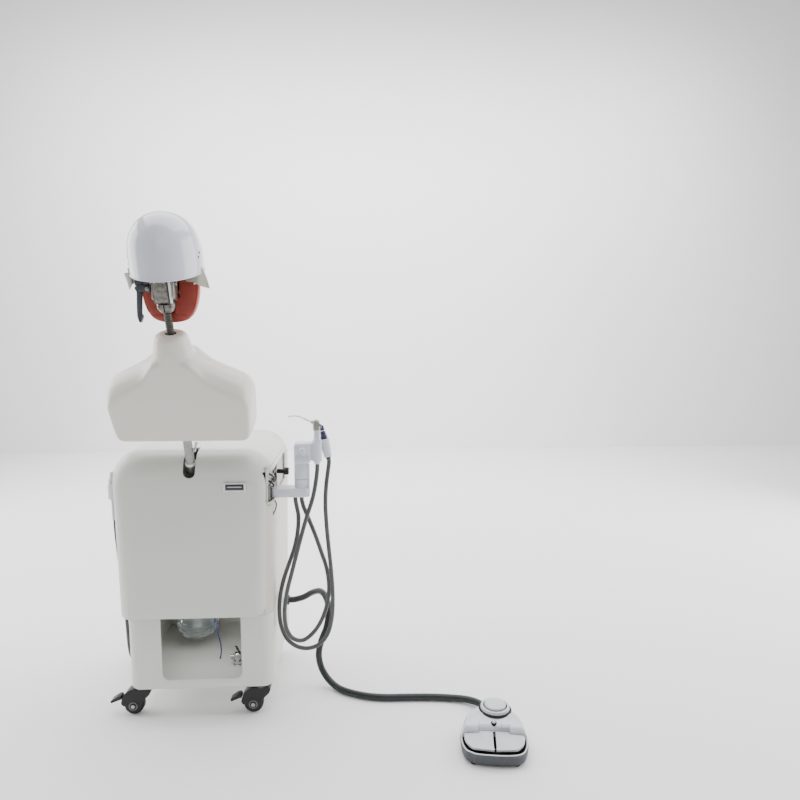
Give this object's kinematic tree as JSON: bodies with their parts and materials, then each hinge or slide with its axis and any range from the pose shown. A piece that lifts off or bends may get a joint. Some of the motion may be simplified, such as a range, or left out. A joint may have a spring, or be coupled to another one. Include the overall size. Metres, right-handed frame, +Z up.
{
  "type": "dental phantom head simulator",
  "caption": "Mobile dental phantom-head simulator: cabinet on casters, tilting torso, phantom head with a hinged typodont, instrument holder arm with hoses, and foot control.",
  "frame": {"origin": "on the floor under the centre of the whole object, hoses left out", "axes": "+X across the cabinet from its left side to the foot control, +Y from the back of the torso toward the face side, +Z up"},
  "size_m": [1.0944, 0.6277, 1.2368],
  "materials": {
    "cover_white": "satin moulded glass-fibre shell, cool white",
    "panel_warm": "satin moulded shell, warm grey white",
    "torso_white": "satin moulded skin, warm white",
    "steel": "turned and brushed steel",
    "chassis_steel": "grey powder-coated steel",
    "bottle_clear": "clear blown plastic",
    "badge_silver": "silver frame round a dark insert",
    "cool_white": "cool white moulded plastic",
    "button_blue_grey": "satin",
    "dark_plastic": "dark grey moulded plastic",
    "black_plastic": "black glass-filled nylon",
    "wheel_tread": "dark grey tread",
    "hose_rubber": "satin dark grey silicone hose",
    "foot_hose_rubber": "blue-black hose",
    "tube_blue": "dark blue tube",
    "helmet_white": "glossy white shell",
    "flap_beige": "beige-grey",
    "mask_red": "terracotta red rubber",
    "gum_pink": "glossy gum pink",
    "tooth_ivory": "glossy ivory",
    "silver_plastic": "silver-grey satin plastic",
    "skirt_grey": "grey rubberised skirt"
  },
  "bodies": {
    "cabinet": {"base_tub": "cover_white", "rear_shell": "panel_warm", "front_cover": "cover_white", "pivot_frame": "chassis_steel", "waste_bottle": "bottle_clear", "drain_fitting": "steel", "badge": "badge_silver", "side_bracket": "steel", "holder_arm": "cool_white", "suction_holder": "cool_white", "hose_gland": "dark_plastic", "foot_base": "skirt_grey", "foot_cover": "silver_plastic", "hose_syringe": "hose_rubber", "hose_handpiece": "hose_rubber", "foot_hose": "foot_hose_rubber", "suction_hose": "hose_rubber", "blue_tube": "tube_blue"},
    "holder": {"holder_head": "cool_white"},
    "syringe": {"syringe_body": "cool_white", "syringe_nozzle": "steel"},
    "air_key": {"air_button": "button_blue_grey"},
    "water_key": {"water_button": "button_blue_grey"},
    "dark_handpiece": {"handpiece": "dark_plastic"},
    "valve_knob": {"control_knob": "black_plastic"},
    "suction": {"suction_handle": "silver_plastic"},
    "torso": {"torso_shell": "torso_white", "torso_pole": "steel", "neck_rod": "steel"},
    "tilt_release": {"tilt_lever": "dark_plastic"},
    "neck": {"neck_collar": "steel", "neck_block": "steel"},
    "clamp": {"clamp_screw": "steel", "clamp_lever": "dark_plastic"},
    "head": {"skull_frame": "steel", "helmet": "helmet_white", "mask_clip_right": "flap_beige", "mask_clip_left": "flap_beige", "face_mask": "mask_red", "cavity_shroud": "mask_red", "upper_jaw": "gum_pink", "upper_teeth": "tooth_ivory"},
    "jaw": {"lower_jaw": "gum_pink", "lower_teeth": "tooth_ivory"},
    "foot_plate": {"foot_disc": "silver_plastic"},
    "foot_mode_peg": {"foot_peg": "silver_plastic"},
    "foot_pedal_right": {"pedal_right": "silver_plastic"},
    "foot_pedal_left": {"pedal_left": "silver_plastic"},
    "swivel_front_left": {"caster_fork_front_left": "black_plastic"},
    "wheel_front_left": {"caster_wheel_front_left": "wheel_tread"},
    "brake_front_left": {"caster_brake_front_left": "black_plastic"},
    "swivel_front_right": {"caster_fork_front_right": "black_plastic"},
    "wheel_front_right": {"caster_wheel_front_right": "wheel_tread"},
    "brake_front_right": {"caster_brake_front_right": "black_plastic"},
    "swivel_rear_left": {"caster_fork_rear_left": "black_plastic"},
    "wheel_rear_left": {"caster_wheel_rear_left": "wheel_tread"},
    "brake_rear_left": {"caster_brake_rear_left": "black_plastic"},
    "swivel_rear_right": {"caster_fork_rear_right": "black_plastic"},
    "wheel_rear_right": {"caster_wheel_rear_right": "wheel_tread"},
    "brake_rear_right": {"caster_brake_rear_right": "black_plastic"}
  },
  "joints": [
    {"name": "torso_tilt", "type": "hinge", "parent": "cabinet", "child": "torso", "pos_m": [-0.26015, -0.04265, 0.61], "axis": [1, 0, 0], "range_deg": [-22, 26]},
    {"name": "tilt_release", "type": "hinge", "parent": "torso", "child": "tilt_release", "pos_m": [-0.26015, -0.07711, 0.6953], "axis": [1, 0, 0], "range_deg": [0, 18], "stiffness_Nm_per_rad": 0.2},
    {"name": "neck_swivel", "type": "hinge", "parent": "torso", "child": "neck", "pos_m": [-0.26015, -0.21497, 1.03651], "axis": [0, -0.3746, 0.9272], "range_deg": [-35, 35]},
    {"name": "head_nod", "type": "hinge", "parent": "neck", "child": "head", "pos_m": [-0.26015, -0.23557, 1.0875], "axis": [1, 0, 0], "range_deg": [-5, 25]},
    {"name": "clamp_turn", "type": "hinge", "parent": "neck", "child": "clamp", "pos_m": [-0.26015, -0.23557, 1.0875], "axis": [-1, 0, 0], "range_deg": [0, 60]},
    {"name": "jaw_open", "type": "hinge", "parent": "head", "child": "jaw", "pos_m": [-0.26015, -0.17557, 1.0695], "axis": [-1, 0, 0], "range_deg": [0, 18]},
    {"name": "holder_swivel", "type": "hinge", "parent": "cabinet", "child": "holder", "pos_m": [0.00585, -0.00465, 0.607], "axis": [0, 0, 1], "range_deg": [-40, 40], "deforming": ["hose_syringe", "hose_handpiece"]},
    {"name": "syringe_lift", "type": "slide", "parent": "holder", "child": "syringe", "axis": [0, 0, 1], "range_m": [0, 0.034]},
    {"name": "handpiece_lift", "type": "slide", "parent": "holder", "child": "dark_handpiece", "axis": [-0.1987, 0, 0.9801], "range_m": [0, 0.034]},
    {"name": "air_press", "type": "slide", "parent": "syringe", "child": "air_key", "axis": [-1, 0, 0], "range_m": [0, 0.0018], "stiffness_N_per_m": 400},
    {"name": "water_press", "type": "slide", "parent": "syringe", "child": "water_key", "axis": [-1, 0, 0], "range_m": [0, 0.0018], "stiffness_N_per_m": 400},
    {"name": "suction_lift", "type": "slide", "parent": "cabinet", "child": "suction", "axis": [0, 0, 1], "range_m": [0, 0.045]},
    {"name": "valve_turn", "type": "hinge", "parent": "cabinet", "child": "valve_knob", "pos_m": [-0.06015, 0.05535, 0.612], "axis": [1, 0, 0], "range_deg": [0, 270]},
    {"name": "disc_press", "type": "slide", "parent": "cabinet", "child": "foot_plate", "axis": [0, 0, -1], "range_m": [0, 0.004], "stiffness_N_per_m": 2500},
    {"name": "peg_press", "type": "slide", "parent": "cabinet", "child": "foot_mode_peg", "axis": [0, 0, -1], "range_m": [0, 0.003], "stiffness_N_per_m": 500},
    {"name": "pedal_right_press", "type": "hinge", "parent": "cabinet", "child": "foot_pedal_right", "pos_m": [0.5028, -0.24367, 0.042], "axis": [0.9914, -0.1305, 0], "range_deg": [0, 5], "stiffness_Nm_per_rad": 9},
    {"name": "pedal_left_press", "type": "hinge", "parent": "cabinet", "child": "foot_pedal_left", "pos_m": [0.43142, -0.23427, 0.042], "axis": [0.9914, -0.1305, 0], "range_deg": [0, 5], "stiffness_Nm_per_rad": 9},
    {"name": "swivel_front_left", "type": "hinge", "parent": "cabinet", "child": "swivel_front_left", "pos_m": [-0.41015, -0.03465, 0.06], "axis": [0, 0, 1], "continuous": true},
    {"name": "roll_front_left", "type": "hinge", "parent": "swivel_front_left", "child": "wheel_front_left", "pos_m": [-0.43015, -0.03465, 0.025], "axis": [0, 1, 0], "continuous": true},
    {"name": "brake_front_left", "type": "hinge", "parent": "swivel_front_left", "child": "brake_front_left", "pos_m": [-0.45915, -0.03465, 0.046], "axis": [0, -1, 0], "range_deg": [0, 12]},
    {"name": "swivel_front_right", "type": "hinge", "parent": "cabinet", "child": "swivel_front_right", "pos_m": [-0.10415, -0.04265, 0.06], "axis": [0, 0, 1], "continuous": true},
    {"name": "roll_front_right", "type": "hinge", "parent": "swivel_front_right", "child": "wheel_front_right", "pos_m": [-0.12415, -0.04265, 0.025], "axis": [0, 1, 0], "continuous": true},
    {"name": "brake_front_right", "type": "hinge", "parent": "swivel_front_right", "child": "brake_front_right", "pos_m": [-0.15315, -0.04265, 0.046], "axis": [0, -1, 0], "range_deg": [0, 12]},
    {"name": "swivel_rear_left", "type": "hinge", "parent": "cabinet", "child": "swivel_rear_left", "pos_m": [-0.41015, 0.26535, 0.06], "axis": [0, 0, 1], "continuous": true},
    {"name": "roll_rear_left", "type": "hinge", "parent": "swivel_rear_left", "child": "wheel_rear_left", "pos_m": [-0.43015, 0.26535, 0.025], "axis": [0, 1, 0], "continuous": true},
    {"name": "brake_rear_left", "type": "hinge", "parent": "swivel_rear_left", "child": "brake_rear_left", "pos_m": [-0.45915, 0.26535, 0.046], "axis": [0, -1, 0], "range_deg": [0, 12]},
    {"name": "swivel_rear_right", "type": "hinge", "parent": "cabinet", "child": "swivel_rear_right", "pos_m": [-0.10915, 0.26535, 0.06], "axis": [0, 0, 1], "continuous": true},
    {"name": "roll_rear_right", "type": "hinge", "parent": "swivel_rear_right", "child": "wheel_rear_right", "pos_m": [-0.12915, 0.26535, 0.025], "axis": [0, 1, 0], "continuous": true},
    {"name": "brake_rear_right", "type": "hinge", "parent": "swivel_rear_right", "child": "brake_rear_right", "pos_m": [-0.15815, 0.26535, 0.046], "axis": [0, -1, 0], "range_deg": [0, 12]}
  ]
}
